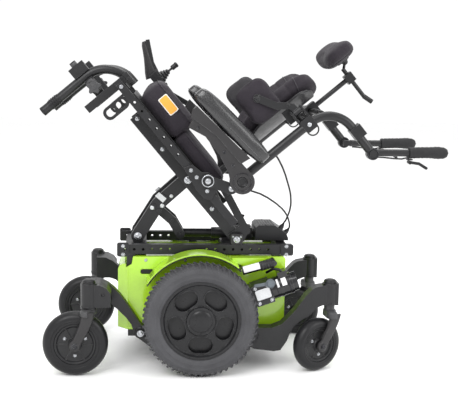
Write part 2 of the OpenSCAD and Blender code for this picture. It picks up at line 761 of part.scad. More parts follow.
// Tube swept along a route of points, with a ring of vertices at each point
module swept(route, r, sides) {
    n = len(route);
    function along(i) = let (a = route[max(i - 1, 0)], b = route[min(i + 1, n - 1)]) (b - a) / norm(b - a);
    function across(i) = let (c = cross(along(i), [1, 0, 0])) c / norm(c);
    points = [for (i = [0:n - 1], k = [0:sides - 1])
              let (u = across(i), v = cross(along(i), u), a = 360 * k / sides)
              route[i] + r * (cos(a) * u + sin(a) * v)];
    polyhedron(points,
               [[for (k = [0:sides - 1]) k],
                for (i = [0:n - 2], k = [0:sides - 1])
                    let (j = (k + 1) % sides, a = i * sides)
                    [a + k, a + sides + k, a + sides + j, a + j],
                [for (k = [sides - 1:-1:0]) (n - 1) * sides + k]]);
}

module lever_cable() on_base() color([0.05, 0.05, 0.05]) swept(lever_route, 2.5, 8);

module recline_cable() on_base() color([0.05, 0.05, 0.05]) swept(recline_route, 2.5, 8);

base_frame();
base_rails();
shroud();
batteries();
drive_motors();
gearboxes();
power_module();
tilt_actuator();
suspension_dampers();
drive_tyre(-1);  // drive_tyre_left
drive_tyre(1);  // drive_tyre_right
drive_rim(-1);  // drive_rim_left
drive_rim(1);  // drive_rim_right
freewheel_lever(-1);  // freewheel_lever_left
freewheel_lever(1);  // freewheel_lever_right
front_arm(-1);  // front_arm_left
front_arm(1);  // front_arm_right
rear_arm(-1);  // rear_arm_left
rear_arm(1);  // rear_arm_right
front_fork(-1);  // front_fork_left
front_fork(1);  // front_fork_right
rear_fork(-1);  // rear_fork_left
rear_fork(1);  // rear_fork_right
front_caster(-1);  // front_caster_left
front_caster(1);  // front_caster_right
rear_caster(-1);  // rear_caster_left
rear_caster(1);  // rear_caster_right
lifting_arms();
tilt_strut();
actuator_rod();
slider(-1);  // slider_left
slider(1);  // slider_right
seat_beams();
seat_rails();
seat_pan();
seat_cushion();
back_canes();
back_shell();
back_cushion();
arm_link(-1);  // arm_link_left
arm_link(1);  // arm_link_right
arm_pad(-1);  // arm_pad_left
arm_pad(1);  // arm_pad_right
joystick_box();
joystick_stick();
hanger(-1);  // hanger_left
hanger(1);  // hanger_right
push_handle(-1);  // push_handle_left
push_handle(1);  // push_handle_right
handle_grip(-1);  // handle_grip_left
handle_grip(1);  // handle_grip_right
handle_lever(-1);  // handle_lever_left
handle_lever(1);  // handle_lever_right
headrest_post();
headrest_arm();
headrest_pad();
lateral_pad(-1);  // lateral_pad_left
lateral_pad(1);  // lateral_pad_right
recline_cable();
lever_cable();
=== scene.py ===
import json
import math

import bmesh
import bpy
from mathutils import Matrix, Vector


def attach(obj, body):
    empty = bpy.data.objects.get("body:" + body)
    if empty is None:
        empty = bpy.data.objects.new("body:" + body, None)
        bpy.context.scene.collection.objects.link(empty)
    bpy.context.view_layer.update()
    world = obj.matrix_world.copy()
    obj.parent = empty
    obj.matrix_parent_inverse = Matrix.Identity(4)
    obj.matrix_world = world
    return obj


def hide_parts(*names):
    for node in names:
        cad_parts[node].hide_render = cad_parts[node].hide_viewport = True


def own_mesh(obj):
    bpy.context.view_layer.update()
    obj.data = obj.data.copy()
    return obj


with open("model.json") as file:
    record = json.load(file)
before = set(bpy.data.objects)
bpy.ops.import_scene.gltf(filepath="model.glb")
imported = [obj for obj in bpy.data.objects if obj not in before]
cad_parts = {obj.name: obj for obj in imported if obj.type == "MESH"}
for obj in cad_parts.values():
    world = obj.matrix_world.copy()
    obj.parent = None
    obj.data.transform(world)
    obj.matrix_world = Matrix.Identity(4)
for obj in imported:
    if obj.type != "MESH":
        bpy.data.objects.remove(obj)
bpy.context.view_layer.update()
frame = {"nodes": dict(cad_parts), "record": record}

# ---- Places ----
# Chassis places are millimetres from the drive axle's line, seat places are millimetres in the
# tilted seat's own frame: x to the rear, z square to the seat. Both come from the record's joints.

JOINTS = {joint["name"]: joint for joint in frame["record"]["behaviour"]["joints"]}
MM = 0.001
SIDES = {"left": -1, "right": 1}


def pivot(joint):
    return Vector(JOINTS[joint]["pos_m"])


AXLE = pivot("drive_wheel_left_spin")
WHEEL_Y = abs(AXLE.y) / MM
WHEEL_Z = AXLE.z / MM
SEAT_UP = Vector(JOINTS["hanger_left_swing"]["axis"])
SEAT_BACK = Vector((SEAT_UP.z, 0, -SEAT_UP.x))
SEAT_ORIGIN = pivot("slider_left_turn")
SEAT_ORIGIN.y = 0


def axes(origin, x, z):
    """Matrix from millimetres in a frame with these X and Z directions to metres in the row frame."""
    y = z.cross(x)
    turn = Matrix((x, y, z)).transposed().to_4x4()
    return Matrix.Translation(origin) @ turn @ Matrix.Scale(MM, 4)


BASE = axes(Vector((AXLE.x, 0, 0)), Vector((1, 0, 0)), Vector((0, 0, 1)))
SEAT = axes(SEAT_ORIGIN, SEAT_BACK, SEAT_UP)


def in_seat(joint):
    """A joint's place in the seat's frame, in millimetres."""
    return SEAT.inverted() @ pivot(joint)


def handle_frame(side):
    joint = pivot("handle_%s_turn" % side)
    return axes(joint, Vector((1, 0, 0)), Vector((0, 0, 1)))


def mirrored(side):
    """Shapes are drawn for the left side; this flips them for the right."""
    return Matrix.Scale(-1, 4, (0, 1, 0)) if SIDES[side] > 0 else Matrix.Identity(4)


# ---- Camera, at the photograph's angle ----

def make_camera():
    yaw, pitch, roll = (math.radians(angle) for angle in (4.88, 8.32, 1.07))
    forward = Vector((math.sin(yaw) * math.cos(pitch), math.cos(yaw) * math.cos(pitch), -math.sin(pitch)))
    level = Vector((math.cos(yaw), -math.sin(yaw), 0))
    above = level.cross(forward)
    right = level * math.cos(roll) + above * math.sin(roll)
    up = above * math.cos(roll) - level * math.sin(roll)
    data = bpy.data.cameras.new("camera")
    data.lens = 71.02
    data.sensor_width = 36
    camera = bpy.data.objects.new("camera", data)
    bpy.context.collection.objects.link(camera)
    camera.matrix_world = Matrix.Translation(BASE @ Vector((-132.2, -2620.3, 839.6))) @ Matrix(
        (right, up, -forward)).transposed().to_4x4()
    bpy.context.scene.camera = camera


make_camera()


# ---- Materials ----

class Finish:
    """Builds one procedural material, step by step."""

    def __init__(self, name):
        self.material = bpy.data.materials.new(name)
        self.material.use_nodes = True
        self.nodes = self.material.node_tree.nodes
        self.links = self.material.node_tree.links
        self.shader = self.nodes["Principled BSDF"]
        self.where = self.nodes.new("ShaderNodeTexCoord").outputs["Object"]

    def add(self, kind, inputs=(), **settings):
        node = self.nodes.new(kind)
        for key, value in settings.items():
            setattr(node, key, value)
        for key, value in dict(inputs).items():
            if isinstance(value, bpy.types.NodeSocket):
                self.links.new(value, node.inputs[key])
            else:
                node.inputs[key].default_value = value
        return node

    def stretched(self, scale):
        return self.add("ShaderNodeMapping", {"Vector": self.where, "Scale": scale}).outputs["Vector"]

    def noise(self, scale, detail=3.0, where=None):
        inputs = {"Vector": where or self.where, "Scale": scale, "Detail": detail}
        return self.add("ShaderNodeTexNoise", inputs).outputs["Fac"]

    def spread(self, value, low, high, to_low=0.0, to_high=1.0):
        inputs = {"Value": value, "From Min": low, "From Max": high, "To Min": to_low, "To Max": to_high}
        return self.add("ShaderNodeMapRange", inputs).outputs["Result"]

    def blend(self, factor, a, b):
        node = self.add("ShaderNodeMix", data_type="RGBA")
        for key, value in ((0, factor), (6, a), (7, b)):
            if isinstance(value, bpy.types.NodeSocket):
                self.links.new(value, node.inputs[key])
            else:
                node.inputs[key].default_value = value if key == 0 else (*value, 1)
        return node.outputs[2]

    def maths(self, operation, a, b):
        return self.add("ShaderNodeMath", {0: a, 1: b}, operation=operation).outputs[0]


def tint(color, amount):
    return tuple(min(1.0, max(0.0, channel * amount)) for channel in color)


def knit(f):
    """Rows of small loops with a fine crossing thread."""
    where = f.stretched((1, 1, 1.6))
    loops = f.add("ShaderNodeTexVoronoi", {"Vector": where, "Scale": 330.0}).outputs["Distance"]
    rows = f.add("ShaderNodeTexWave", {"Vector": f.where, "Scale": 120.0, "Distortion": 1.5}).outputs["Fac"]
    return f.maths("ADD", f.maths("MULTIPLY", loops, 0.8), f.maths("MULTIPLY", rows, 0.3))


def leather(f):
    """Pebbled cells with fine creases between them."""
    cells = f.add("ShaderNodeTexVoronoi", {"Vector": f.where, "Scale": 420.0}, feature="DISTANCE_TO_EDGE")
    return f.maths("ADD", f.spread(cells.outputs["Distance"], 0.0, 0.12), f.noise(60.0, 5.0))


def grain(scale):
    return lambda f: f.noise(scale, 4.0)


def brushed(f):
    return f.noise(1.0, 4.0, f.stretched((60, 900, 900)))


SHADER_SOCKETS = {"metallic": "Metallic", "specular": "Specular IOR Level", "coat": "Coat Weight",
                  "coat_roughness": "Coat Roughness", "sheen": "Sheen Weight",
                  "sheen_roughness": "Sheen Roughness"}


def finish(name, color, roughness, relief, depth, spread=0.14, blotch=18.0, edge=None, bevel=0.0012,
           specular=0.3, **constant):
    """A material with drifting colour and gloss, a fine relief, and a painted highlight, partly edge wear,
    that lightens its edges.
    """
    f = Finish(name)
    for socket, value in dict(constant, specular=specular).items():
        f.shader.inputs[SHADER_SOCKETS[socket]].default_value = value
    height = relief(f)
    drift = f.spread(f.noise(blotch, 5.0), 0.3, 0.7)
    body = f.blend(drift, tint(color, 1 - spread), tint(color, 1 + spread))
    speck = f.spread(f.noise(blotch * 22, 2.0), 0.35, 0.75)
    body = f.blend(f.maths("MULTIPLY", speck, 0.35), body, tint(color, 1 + 2.4 * spread))
    rounded = f.add("ShaderNodeBevel", {"Radius": bevel}, samples=4).outputs["Normal"]
    flat = f.add("ShaderNodeNewGeometry").outputs["True Normal"]
    # Painted highlight, partly edge wear: where the rounded normal bends away from the true normal, the base
    # colour is lightened towards the edge colour in noisy patches.
    if edge:
        bend = f.add("ShaderNodeVectorMath", {0: rounded, 1: flat}, operation="DOT_PRODUCT").outputs["Value"]
        edge_highlight_and_wear = f.maths("MULTIPLY", f.spread(bend, 0.99, 0.8), f.spread(f.noise(70.0), 0.35, 0.7))
        body = f.blend(edge_highlight_and_wear, body, edge)
    f.links.new(body, f.shader.inputs["Base Color"])
    gloss = f.spread(f.noise(blotch * 3, 4.0), 0.25, 0.75, max(0.04, roughness - 0.07), roughness + 0.09)
    f.links.new(gloss, f.shader.inputs["Roughness"])
    bump = f.add("ShaderNodeBump", {"Height": height, "Normal": rounded, "Strength": 0.6, "Distance": depth})
    f.links.new(bump.outputs["Normal"], f.shader.inputs["Normal"])
    return f.material


BLACK_PAINT = finish("black_powder_coat", (0.010, 0.010, 0.011), 0.36, grain(1400.0), 0.00018,
                     edge=(0.16, 0.16, 0.165), specular=0.36)
GREEN = finish("lime_shell", (0.36, 0.62, 0.02), 0.2, grain(25.0), 0.0006, spread=0.07, blotch=6.0,
               bevel=0.005, specular=0.5, coat=0.6, coat_roughness=0.08)
BATTERY = finish("battery_case", (0.012, 0.012, 0.013), 0.55, grain(700.0), 0.0003, edge=(0.08, 0.08, 0.08))
MOTOR = finish("motor_enamel", (0.008, 0.008, 0.009), 0.2, grain(260.0), 0.0002, coat=0.4,
               edge=(0.2, 0.2, 0.21))
CAST = finish("cast_black", (0.009, 0.009, 0.01), 0.33, grain(480.0), 0.0006, bevel=0.003,
              edge=(0.2, 0.2, 0.21), coat=0.2)
SILVER = finish("silver_plate", (0.55, 0.56, 0.57), 0.35, brushed, 0.0001, metallic=0.6)
STEEL = finish("bright_steel", (0.42, 0.43, 0.45), 0.26, brushed, 0.0001, metallic=1.0)
DARK_STEEL = finish("black_oxide", (0.03, 0.03, 0.033), 0.3, brushed, 0.0001, metallic=0.8,
                    edge=(0.3, 0.3, 0.31))
MODULE = finish("module_plastic", (0.013, 0.013, 0.014), 0.34, grain(1100.0), 0.0003, bevel=0.003,
                edge=(0.12, 0.12, 0.125))
ACTUATOR = finish("actuator_paint", (0.01, 0.01, 0.011), 0.3, grain(900.0), 0.0002, edge=(0.15, 0.15, 0.15))
WHITE = finish("white_enamel", (0.72, 0.72, 0.73), 0.35, grain(900.0), 0.0002, spread=0.05)
TYRE = finish("tread_rubber", (0.048, 0.048, 0.052), 0.6, grain(520.0), 0.0007, spread=0.22,
              edge=(0.16, 0.16, 0.165))
RIM = finish("rim_plastic", (0.01, 0.01, 0.011), 0.3, grain(800.0), 0.0002, bevel=0.002,
             edge=(0.1, 0.1, 0.105))
KNOB = finish("lever_plastic", (0.1, 0.115, 0.13), 0.4, grain(900.0), 0.0002, bevel=0.002)
LEVER = finish("lever_black", (0.01, 0.01, 0.011), 0.32, grain(900.0), 0.0002, bevel=0.002)
CHARCOAL = finish("charcoal_plastic", (0.024, 0.023, 0.024), 0.4, grain(900.0), 0.0004, bevel=0.003,
                  edge=(0.15, 0.15, 0.152))
CROWN = finish("fork_crown_plastic", (0.05, 0.05, 0.052), 0.42, grain(900.0), 0.0004, bevel=0.003)
CASTER = finish("caster_rubber", (0.007, 0.007, 0.008), 0.38, grain(500.0), 0.0003, bevel=0.002)
HUB = finish("caster_hub", (0.013, 0.013, 0.014), 0.34, grain(800.0), 0.0002, edge=(0.13, 0.13, 0.13))
CLOTH = finish("knitted_cloth", (0.019, 0.0155, 0.0205), 0.82, knit, 0.0012, spread=0.22, blotch=14.0,
               sheen=0.06, sheen_roughness=0.4)
# Painted light: a lighter, lit copy of the dark knitted cloth, for the far lateral pad's face that catches
# the light.
CLOTH_LIT = finish("knitted_cloth_lit", (0.04, 0.038, 0.042), 0.75, knit, 0.0012, spread=0.2, blotch=14.0,
                    sheen=0.08, sheen_roughness=0.4)
PIPING = finish("piping", (0.028, 0.025, 0.03), 0.5, knit, 0.0004)
SHELL = finish("shell_plastic", (0.012, 0.0115, 0.013), 0.38, grain(900.0), 0.0003, bevel=0.003,
               edge=(0.13, 0.13, 0.135))
VINYL = finish("pad_leatherette", (0.007, 0.007, 0.008), 0.22, leather, 0.0002, specular=0.5, coat=0.5,
               coat_roughness=0.22)
FOAM = finish("grip_foam", (0.014, 0.014, 0.015), 0.7, grain(380.0), 0.0009, spread=0.25)
CABLE = finish("cable_sheath", (0.01, 0.01, 0.011), 0.42, grain(700.0), 0.0001)
AMBER = finish("patch_amber", (0.75, 0.33, 0.05), 0.55, knit, 0.0003, spread=0.06)
PALE = finish("patch_border", (0.62, 0.6, 0.56), 0.6, knit, 0.0003, spread=0.05)
SCREEN = finish("display_glass", (0.1, 0.12, 0.11), 0.08, grain(30.0), 0.00005, coat=1.0)
FLOOR = finish("floor", (0.965, 0.965, 0.965), 0.6, grain(6.0), 0.0001, spread=0.01, blotch=1.0)

CAD_FINISHES = {
    "frame_black": BLACK_PAINT, "shroud_green": GREEN, "battery": BATTERY, "motor_black": MOTOR,
    "gear_metal": CAST, "module_plastic": MODULE, "actuator": ACTUATOR, "damper_metal": MOTOR,
    "drive_tyre": TYRE, "rim_plastic": RIM, "lever_plastic": LEVER, "fork_plastic": CHARCOAL,
    "caster_rubber": CASTER, "seat_cloth": CLOTH, "shell_plastic": SHELL, "pad_vinyl": VINYL,
    "grip_foam": FOAM, "cable_rubber": CABLE}


def dress_cad_nodes():
    slots = {part["node"]: part["material_slot"] for part in frame["record"]["subparts"]}
    for name, node in frame["nodes"].items():
        node.data.materials.clear()
        node.data.materials.append(CAD_FINISHES[slots[name]])
    for name in ("freewheel_lever_left", "freewheel_lever_right"):
        frame["nodes"][name].data.materials[0] = KNOB


dress_cad_nodes()


# ---- Mesh building, in millimetres of a chosen frame ----

def block(shape, x, y, z):
    """Box from three (low, high) pairs."""
    corners = [shape.verts.new((x[i], y[j], z[k])) for i in (0, 1) for j in (0, 1) for k in (0, 1)]
    for face in ((0, 1, 3, 2), (4, 6, 7, 5), (0, 4, 5, 1), (2, 3, 7, 6), (0, 2, 6, 4), (1, 5, 7, 3)):
        shape.faces.new([corners[i] for i in face])
    return corners


def skin(shape, rings, close_ends=True, ring_closed=True, loop=False):
    """Joins rings of points into a tube of quads."""
    rows = [[shape.verts.new(point) for point in ring] for ring in rings]
    count = len(rows[0])
    pairs = list(zip(rows, rows[1:])) + ([(rows[-1], rows[0])] if loop else [])
    for a, b in pairs:
        for k in range(count if ring_closed else count - 1):
            shape.faces.new((a[k], a[(k + 1) % count], b[(k + 1) % count], b[k]))
    if close_ends and not loop:
        shape.faces.new(list(reversed(rows[0])))
        shape.faces.new(rows[-1])
    return [vertex for row in rows for vertex in row]


def lathe(shape, centre, profile, steps=64, closed=False):
    """Turns (radius, y) points about the Y axis through centre, given as (x, y, z)."""
    rings = []
    for i in range(steps):
        angle = 2 * math.pi * i / steps
        rings.append([(centre[0] + r * math.cos(angle), centre[1] + y, centre[2] + r * math.sin(angle))
                      for r, y in profile])
    return skin(shape, rings, ring_closed=closed, loop=True)


def tube(shape, points, radius, sides=12):
    """Round tube along a list of points; radius is a number or one number a point."""
    points = [Vector(point) for point in points]
    radii = radius if isinstance(radius, (list, tuple)) else [radius] * len(points)
    rings = []
    across = None
    for i, point in enumerate(points):
        along = (points[min(i + 1, len(points) - 1)] - points[max(i - 1, 0)]).normalized()
        across = across - along * across.dot(along) if across else along.orthogonal()
        across.normalize()
        other = along.cross(across)
        rings.append([point + radii[i] * (math.cos(a) * across + math.sin(a) * other)
                      for a in (2 * math.pi * k / sides for k in range(sides))])
    return skin(shape, rings)


def prism(shape, outline, y0, y1):
    """Extrudes an X-Z outline between two values of y."""
    return skin(shape, [[(x, y, z) for x, z in outline] for y in (y0, y1)])


def arc(cx, cz, r, a0, a1, steps=8):
    angles = [math.radians(a0 + (a1 - a0) * i / steps) for i in range(steps + 1)]
    return [(cx + r * math.cos(a), cz + r * math.sin(a)) for a in angles]


def round_rect(x0, x1, z0, z1, r, steps=6):
    corners = ((x1 - r, z1 - r, 0), (x0 + r, z1 - r, 90), (x0 + r, z0 + r, 180), (x1 - r, z0 + r, 270))
    return [point for cx, cz, a in corners for point in arc(cx, cz, r, a, a + 90, steps)]


def bolt(shape, at, direction, r, height, sides=24):
    """Domed screw head with a washer under it and a socket in the top."""
    at = Vector(at)
    along = Vector(direction).normalized()
    profile = ((0.0, r * 1.35), (0.12, r * 1.35), (0.14, r), (0.75, r), (1.0, r * 0.78), (1.0, r * 0.5),
               (0.62, r * 0.45))
    points = [at + along * height * step for step, _ in profile]
    across = along.orthogonal().normalized()
    other = along.cross(across)
    rings = [[point + radius * (math.cos(a) * across + math.sin(a) * other)
              for a in (2 * math.pi * k / sides for k in range(sides))]
             for point, (_, radius) in zip(points, profile)]
    skin(shape, rings)


def ring(shape, at, big, small, sides=40):
    """Torus in an X-Z plane."""
    rings = []
    for i in range(sides):
        a = 2 * math.pi * i / sides
        rings.append([(at[0] + (big + small * math.cos(b)) * math.cos(a), at[1] + small * math.sin(b),
                       at[2] + (big + small * math.cos(b)) * math.sin(a))
                      for b in (2 * math.pi * k / 10 for k in range(10))])
    skin(shape, rings, loop=True)


def piece(name, draw, place, body, material, slot, bevel=0.0, smooth_angle=38, replaces=()):
    """Makes one object from a drawing function, in place, and lets it ride on a body."""
    shape = bmesh.new()
    draw(shape)
    bmesh.ops.transform(shape, matrix=place, verts=shape.verts)
    bmesh.ops.recalc_face_normals(shape, faces=shape.faces)
    mesh = bpy.data.meshes.new(name)
    shape.to_mesh(mesh)
    shape.free()
    thing = bpy.data.objects.new(name, mesh)
    bpy.context.collection.objects.link(thing)
    if bevel:
        rounding = thing.modifiers.new("rounding", "BEVEL")
        rounding.width = bevel * MM
        rounding.segments = 2
        rounding.limit_method = "ANGLE"
        rounding.angle_limit = math.radians(32)
    mesh.polygons.foreach_set("use_smooth", [True] * len(mesh.polygons))
    mesh.set_sharp_from_angle(angle=math.radians(smooth_angle))
    settle(thing, body, material, replaces)
    return thing


def settle(thing, body, material, replaces=()):
    thing.data.materials.clear()
    thing.data.materials.append(material)
    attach(thing, body)
    if replaces:
        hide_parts(*replaces)


# ---- Cords ----

LEVER_ROUTE = ((204, -172, 604), (211, -172, 594), (217, -171, 583), (223, -170, 572), (228, -169, 560),
               (233, -167, 548), (237, -164, 536), (241, -160, 525), (245, -155, 514), (249, -149, 502),
               (252, -142, 491), (254, -134, 480), (256, -126, 469), (257, -117, 458), (257, -108, 448),
               (257, -99, 439), (256, -89, 430), (255, -78, 421), (254, -67, 413), (253, -57, 405),
               (250, -48, 398), (247, -44, 390), (243.3, -44, 384.4))
RECLINE_ROUTE = ((107, -172, 522), (116, -173, 515), (127, -174, 510), (139, -174, 506), (151, -173, 502),
                 (163, -171, 498), (174, -168, 492), (185, -163, 486), (195, -157, 479), (205, -149, 472),
                 (214, -140, 465), (223, -130, 457), (232, -120, 449), (240, -109, 440), (247, -98, 431),
                 (253, -87, 421), (258, -76, 411), (262, -65, 401), (265, -54, 391), (266, -44, 382),
                 (263, -38, 374), (258.8, -36.3, 369))
CORD_D = 5 * MM


def make_cord(name, route, node):
    points = [BASE @ Vector(point) for point in route]
    thing = piece(name, lambda shape: tube(shape, route, CORD_D / MM / 2, 12), BASE, "chassis", CABLE,
                  "cable_rubber", replaces=(node,))
    length = sum((b - a).length for a, b in zip(points, points[1:]))
    tuple(points[-1])
    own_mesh(thing)
    tuple(points[0])
    [tuple(point) for point in points]


make_cord("lever_cord", LEVER_ROUTE, "lever_cable")
make_cord("recline_cord", RECLINE_ROUTE, "recline_cable")


# ---- Soft goods ----

def sampled(name, place, size, centre, squareness, bend=None):
    """Soft box: a superellipsoid surface of a size in millimetres, bent by an optional function."""
    shape = bmesh.new()
    bmesh.ops.create_cube(shape, size=2)
    bmesh.ops.subdivide_edges(shape, edges=shape.edges, cuts=15, use_grid_fill=True)
    for vertex in shape.verts:
        p = vertex.co
        p = p / sum(abs(c) ** squareness for c in p) ** (1 / squareness)
        q = Vector([middle + reach * across / 2 for middle, reach, across in zip(centre, p, size)])
        vertex.co = bend(q) if bend else q
    bmesh.ops.transform(shape, matrix=place, verts=shape.verts)
    bmesh.ops.recalc_face_normals(shape, faces=shape.faces)
    mesh = bpy.data.meshes.new(name)
    shape.to_mesh(mesh)
    shape.free()
    thing = bpy.data.objects.new(name, mesh)
    bpy.context.collection.objects.link(thing)
    return thing


def applied(thing):
    """Swaps the object's mesh for what its modifiers make of it."""
    depsgraph = bpy.context.evaluated_depsgraph_get()
    depsgraph.update()
    mesh = bpy.data.meshes.new_from_object(thing.evaluated_get(depsgraph))
    thing.modifiers.clear()
    thing.data = mesh


CLOTH_FRAMES = 20
CLOTH_PRESSURE = 4.0


def stuff(thing, voxel, cap):
    """Fills a closed form with cloth simulation: the cover swells, by no more than a cap in millimetres."""
    remesh = thing.modifiers.new("remesh", "REMESH")
    remesh.mode = "VOXEL"
    remesh.voxel_size = voxel * MM
    applied(thing)
    start = [vertex.co.copy() for vertex in thing.data.vertices]
    cloth = thing.modifiers.new("cloth", "CLOTH")
    cloth.settings.quality = 5
    cloth.settings.use_pressure = True
    cloth.settings.uniform_pressure_force = CLOTH_PRESSURE
    cloth.settings.effector_weights.gravity = 0
    cloth.point_cache.frame_start = 1
    cloth.point_cache.frame_end = CLOTH_FRAMES
    for step in range(1, CLOTH_FRAMES + 1):
        bpy.context.scene.frame_set(step)
    applied(thing)
    bpy.context.scene.frame_set(1)
    for vertex, origin in zip(thing.data.vertices, start):
        shift = vertex.co - origin
        if shift.length > cap * MM:
            vertex.co = origin + shift * (cap * MM / shift.length)
    thing.modifiers.new("smooth", "SMOOTH").iterations = 3
    applied(thing)
    thing.modifiers.new("subdivision", "SUBSURF").levels = 1
    thing.modifiers["subdivision"].render_levels = 1
    applied(thing)
    thing.data.polygons.foreach_set("use_smooth", [True] * len(thing.data.polygons))


def crease(thing, place, axis, at, depth, width):
    """Presses a sewn channel into a soft form, where one of its frame's coordinates is at."""
    back = place.inverted()
    mesh = thing.data
    mesh.update()
    normals = [vertex.normal.copy() for vertex in mesh.vertices]
    for vertex, normal in zip(mesh.vertices, normals):
        gap = abs((back @ vertex.co)[axis] - at) / width
        if gap < 2.5:
            vertex.co -= normal * depth * MM * math.exp(-gap * gap * 2)


def section(thing, place, point, normal):
    """The outline of a soft form where a plane cuts it, as an ordered loop of points in the frame's mm."""
    shape = bmesh.new()
    shape.from_mesh(thing.data)
    bmesh.ops.transform(shape, matrix=place.inverted(), verts=shape.verts)
    geometry = list(shape.verts) + list(shape.edges) + list(shape.faces)
    cut = bmesh.ops.bisect_plane(shape, geom=geometry, plane_co=point, plane_no=normal)["geom_cut"]
    edges = [item for item in cut if isinstance(item, bmesh.types.BMEdge)]
    neighbours = {}
    for edge in edges:
        a, b = edge.verts
        neighbours.setdefault(a, []).append(b)
        neighbours.setdefault(b, []).append(a)
    best = []
    unseen = set(neighbours)
    while unseen:
        walk = [unseen.pop()]
        while True:
            onward = [v for v in neighbours[walk[-1]] if v in unseen]
            if not onward:
                break
            walk.append(onward[0])
            unseen.discard(onward[0])
        if len(walk) > len(best):
            best = walk
    loop = [vertex.co.copy() for vertex in best]
    shape.free()
    return loop


def welt(name, thing, place, point, normal, body, material, slot, radius=1.6, proud=0.6, every=2, keep=None):
    """Piping sewn round a soft form along a plane."""
    loop = section(thing, place, Vector(point), Vector(normal))
    if keep:
        loop = [p for p in loop if keep(p)]
    middle = sum(loop, Vector()) / len(loop)
    path = [p + (p - middle).normalized() * proud for p in loop[::every]]
    smooth = [(path[i - 1] + path[i] * 2 + path[(i + 1) % len(path)]) / 4 for i in range(len(path))]
    if not keep:
        smooth += smooth[:2]
    else:
        smooth = smooth[1:-1]
    return piece(name, lambda shape: tube(shape, smooth, radius, 8), place, body, material, slot)


def soften(thing, body, material, replaces=()):
    settle(thing, body, material, replaces)


def make_seat_cushion():
    front = sampled("seat_cushion_front", SEAT, (156, 362, 74), (-408, 0, 82), 11)
    stuff(front, 6, 5)
    crease(front, SEAT, 2, 106, 1.5, 3)
    soften(front, "seat", CLOTH, ("seat_cushion",))
    rear = sampled("seat_cushion_rear", SEAT, (182, 358, 44), (-252, 0, 66), 9)
    stuff(rear, 6, 3)
    soften(rear, "seat", CLOTH, ())
    for name, thing, z in (("front", front, 110), ("rear", rear, 80)):
        welt("cushion_piping_" + name, thing, SEAT, (0, 0, z), (0, 0, 1), "seat", PIPING, "seat_cloth")
    side = min(vertex.co.y for vertex in front.data.vertices) / MM
    for name, grow, proud, material in (("border", 2.5, 1.2, PALE), ("label", 0, 1.8, AMBER)):
        outline = round_rect(-444 - grow, -394 + grow, 81 - grow, 105 + grow, 4)
        piece("cushion_patch_" + name, lambda shape: prism(shape, outline, side - proud, side + 2), SEAT,
              "seat", material, "seat_cloth", bevel=0.4)


def make_back_cushion():
    radius = 254.0
    centre = -425.0

    def bend(q):
        # Depth runs inwards from the shell's arc, with wings that come forward at the sides
        angle = q.y / 205.0
        depth = radius + q.x + 171
        return Vector((centre + depth * math.cos(angle), depth * math.sin(angle) * 0.83, q.z))

    pad = sampled("back_pad", SEAT, (52, 268, 250), (-199, 0, 331), 6, bend=bend)
    stuff(pad, 6, 5)
    for z in (285, 375):
        crease(pad, SEAT, 2, z, 1.6, 6)
    soften(pad, "back", CLOTH, ("back_cushion",))
    welt("back_piping", pad, SEAT, (0, 0, 331), (0.3, 0, 1), "back", PIPING, "seat_cloth")


def make_headrest():
    def bend(q):
        return Vector((q.x - 14 * (q.y / 120) ** 2, q.y, q.z))

    pad = sampled("headrest_cushion", SEAT, (50, 236, 94), (-217, 0, 556), 3.2, bend=bend)
    stuff(pad, 4, 4)
    crease(pad, SEAT, 0, -206, 1.6, 3)
    soften(pad, "headrest", CLOTH, ("headrest_pad",))
    welt("headrest_piping", pad, SEAT, (-206, 0, 556), (1, 0, 0), "headrest", PIPING, "seat_cloth", 1.4)

    def mount(shape):
        prism(shape, round_rect(-202, -188, 540, 582, 6), -20, 20)
        tube(shape, [(-192, 0, 566), (-184, 0, 566)], [14, 10.5], 24)

    piece("headrest_mount", mount, SEAT, "headrest", MODULE, "module_plastic", bevel=1)


def make_laterals():
    for side, sign in SIDES.items():
        place = SEAT @ mirrored(side)
        pad = sampled("lateral_cushion_" + side, place, (114, 22, 100), (-271, -165, 288), 3.6)
        stuff(pad, 4, 4)
        # The far lateral pad gets the lighter cloth copy as painted light, and the near pad keeps the dark
        # cloth.
        soften(pad, "lateral_" + side, CLOTH if sign < 0 else CLOTH_LIT, ("lateral_pad_" + side,))
        welt("lateral_piping_" + side, pad, place, (0, -165, 0), (0, 1, 0), "lateral_" + side, PIPING,
             "seat_cloth", 1.3)

        def bracket(shape):
            prism(shape, [(-289, 281), (-271, 284), (-224, 311), (-204, 340), (-184, 343), (-177, 352),
                          (-184, 361), (-206, 358), (-220, 347), (-240, 324), (-284, 300)], -188, -181)
            tube(shape, [(-184, -184, 341), (-184, -184, 363)], 9.5, 24)
            tube(shape, [(-280, -182, 290), (-280, -175, 290)], 12, 24)
            bolt(shape, (-280, -188, 290), (0, -1, 0), 5, 4)
            bolt(shape, (-214, -188, 343), (0, -1, 0), 3.5, 3)

        piece("lateral_bracket_" + side, bracket, place, "lateral_" + side, BLACK_PAINT, "frame_black",
              bevel=1)


def make_arm_pads():
    for side in SIDES:
        place = SEAT @ mirrored(side)

        def bend(q):
            along = (q.x + 402) / 256
            return Vector((q.x, q.y, q.z + 24 * along))

        pad = sampled("arm_cushion_" + side, place, (256, 50, 46), (-272, -234, 177), 5, bend=bend)
        stuff(pad, 4, 3)
        soften(pad, "armrest_" + side, VINYL, ("arm_pad_" + side,))
        welt("arm_piping_" + side, pad, place, (-276, 0, 180), (-24, 0, 256), "armrest_" + side, VINYL,
             "pad_vinyl", 1.6)


make_seat_cushion()
make_back_cushion()
make_headrest()
make_laterals()
make_arm_pads()


# ---- Wheels ----

